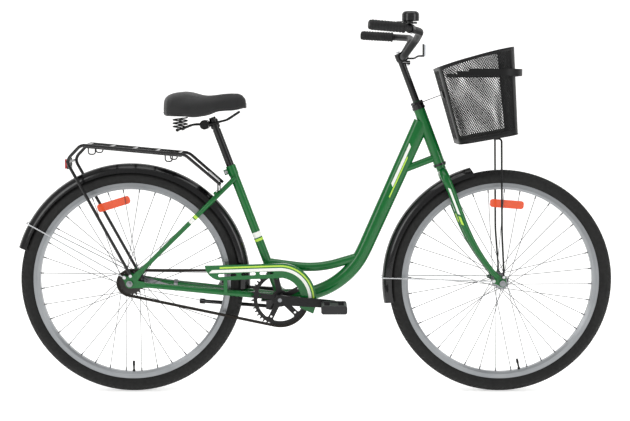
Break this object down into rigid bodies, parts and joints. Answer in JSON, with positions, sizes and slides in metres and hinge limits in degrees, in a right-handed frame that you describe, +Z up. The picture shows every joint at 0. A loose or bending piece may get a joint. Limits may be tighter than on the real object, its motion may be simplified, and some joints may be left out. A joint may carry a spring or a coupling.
{
  "type": "city bicycle",
  "caption": "Step-through city bicycle with front basket, rear rack, full fenders, chain guard and its own folding kickstand.",
  "frame": {"origin": "on the ground, under the middle of the whole bicycle", "axes": "+X forward, towards the front wheel; +Y towards the rider's left; +Z up"},
  "size_m": [1.8964, 0.6194, 1.1957],
  "materials": {
    "frame_paint": "gloss dark green enamel",
    "black_paint": "gloss black enamel",
    "satin_black": "satin black powder coat",
    "guard_paint": "gloss green with a white and a lime stripe",
    "alloy": "brushed and anodised",
    "chrome": "polished plating",
    "steel": "zinc plated",
    "chain_steel": "oiled steel",
    "spoke_steel": "drawn stainless wire",
    "tyre": "matte with a fine tread",
    "grip_rubber": "matte ribbed",
    "pedal_body": "matte black with blocks",
    "black_plastic": "gloss black",
    "orange_reflector": "clear orange prisms",
    "red_reflector": "clear red prisms",
    "clear_reflector": "clear prisms in a black ring",
    "saddle_skin": "matte black vinyl, padded",
    "basket_steel": "satin black wire mesh"
  },
  "bodies": {
    "frame": {"head_tube": "frame_paint", "down_tube": "frame_paint", "step_tubes": "frame_paint", "seat_tube": "frame_paint", "bottom_bracket_shell": "frame_paint", "chainstays": "frame_paint", "seatstays": "frame_paint", "rear_dropouts": "frame_paint", "stay_bridges": "frame_paint", "bearing_cups": "black_paint", "rear_axle": "steel", "rack_rails": "black_paint", "rack_crossbars": "black_paint", "rear_reflector": "red_reflector", "rear_fender_stay": "chrome", "rear_fender": "black_paint", "chain_guard": "guard_paint", "chain": "chain_steel", "kickstand_bracket": "black_paint", "brake_arm": "steel", "frame_bolts": "chrome"},
    "steering": {"fork_crown": "frame_paint", "fork_blades": "frame_paint", "headset_nuts": "black_paint", "basket": "basket_steel", "basket_mounts": "satin_black", "front_fender": "black_paint", "front_fender_stay": "chrome", "front_axle": "steel", "fork_bolts": "chrome"},
    "cockpit": {"stem": "black_paint", "stem_bolts": "chrome", "handlebar": "satin_black", "grips": "grip_rubber", "bell": "black_plastic", "front_reflector": "clear_reflector"},
    "bell_lever": {"bell_lever": "black_plastic"},
    "basket_handle": {"basket_handle": "satin_black"},
    "front_wheel": {"front_tyre": "tyre", "front_rim": "alloy", "front_spokes": "spoke_steel", "front_hub": "alloy", "front_spoke_reflector": "orange_reflector"},
    "rear_wheel": {"rear_tyre": "tyre", "rear_rim": "alloy", "rear_spokes": "spoke_steel", "rear_hub": "alloy", "rear_spoke_reflector": "orange_reflector"},
    "sprocket": {"rear_sprocket": "chain_steel"},
    "crank": {"chainring": "steel", "crank_spindle": "steel", "crank_arms": "alloy", "pedal_spindles": "steel"},
    "right_pedal": {"right_pedal": "pedal_body"},
    "left_pedal": {"left_pedal": "pedal_body"},
    "seat": {"seatpost": "black_paint", "saddle_clamp": "black_paint", "saddle_rails": "satin_black", "saddle_cover": "saddle_skin"},
    "kickstand": {"kickstand_leg": "satin_black"}
  },
  "joints": [
    {"name": "steering", "type": "hinge", "parent": "frame", "child": "steering", "pos_m": [0.54453, 0, 0.33916], "axis": [-0.3567, 0, 0.9342], "range_deg": [-55, 55]},
    {"name": "stem_height", "type": "slide", "parent": "steering", "child": "cockpit", "axis": [-0.3567, 0, 0.9342], "range_m": [-0.025, 0.02]},
    {"name": "bell_thumb", "type": "hinge", "parent": "cockpit", "child": "bell_lever", "pos_m": [0.27902, -0.2508, 1.16308], "axis": [0, 0, 1], "range_deg": [0, 25], "stiffness_Nm_per_rad": 0.05},
    {"name": "carry_handle", "type": "hinge", "parent": "steering", "child": "basket_handle", "pos_m": [0.43724, 0, 1.0145], "axis": [0, 1, 0], "range_deg": [-100, 0]},
    {"name": "front_spin", "type": "hinge", "parent": "steering", "child": "front_wheel", "pos_m": [0.59124, 0, 0.357], "axis": [0, 1, 0], "continuous": true},
    {"name": "rear_spin", "type": "hinge", "parent": "frame", "child": "rear_wheel", "pos_m": [-0.58676, 0, 0.357], "axis": [0, 1, 0], "continuous": true},
    {"name": "crank_spin", "type": "hinge", "parent": "frame", "child": "crank", "pos_m": [-0.11226, 0, 0.3075], "axis": [0, 1, 0], "continuous": true, "deforming": ["chain"]},
    {"name": "sprocket_spin", "type": "hinge", "parent": "frame", "child": "sprocket", "pos_m": [-0.58676, 0, 0.357], "axis": [0, 1, 0], "continuous": true},
    {"name": "right_pedal_spin", "type": "hinge", "parent": "crank", "child": "right_pedal", "pos_m": [0.05721, 0, 0.29416], "axis": [0, 1, 0], "continuous": true},
    {"name": "left_pedal_spin", "type": "hinge", "parent": "crank", "child": "left_pedal", "pos_m": [-0.28174, 0, 0.32084], "axis": [0, 1, 0], "continuous": true},
    {"name": "kickstand_fold", "type": "hinge", "parent": "frame", "child": "kickstand", "pos_m": [-0.14676, 0.03, 0.268], "axis": [0, 1, 0], "range_deg": [-95, 0]},
    {"name": "seat_height", "type": "slide", "parent": "frame", "child": "seat", "axis": [-0.3535, 0, 0.9354], "range_m": [-0.05, 0.03]}
  ],
  "couplings": [
    {"joint": "sprocket_spin", "follows": "crank_spin", "ratio": 2.2}
  ]
}
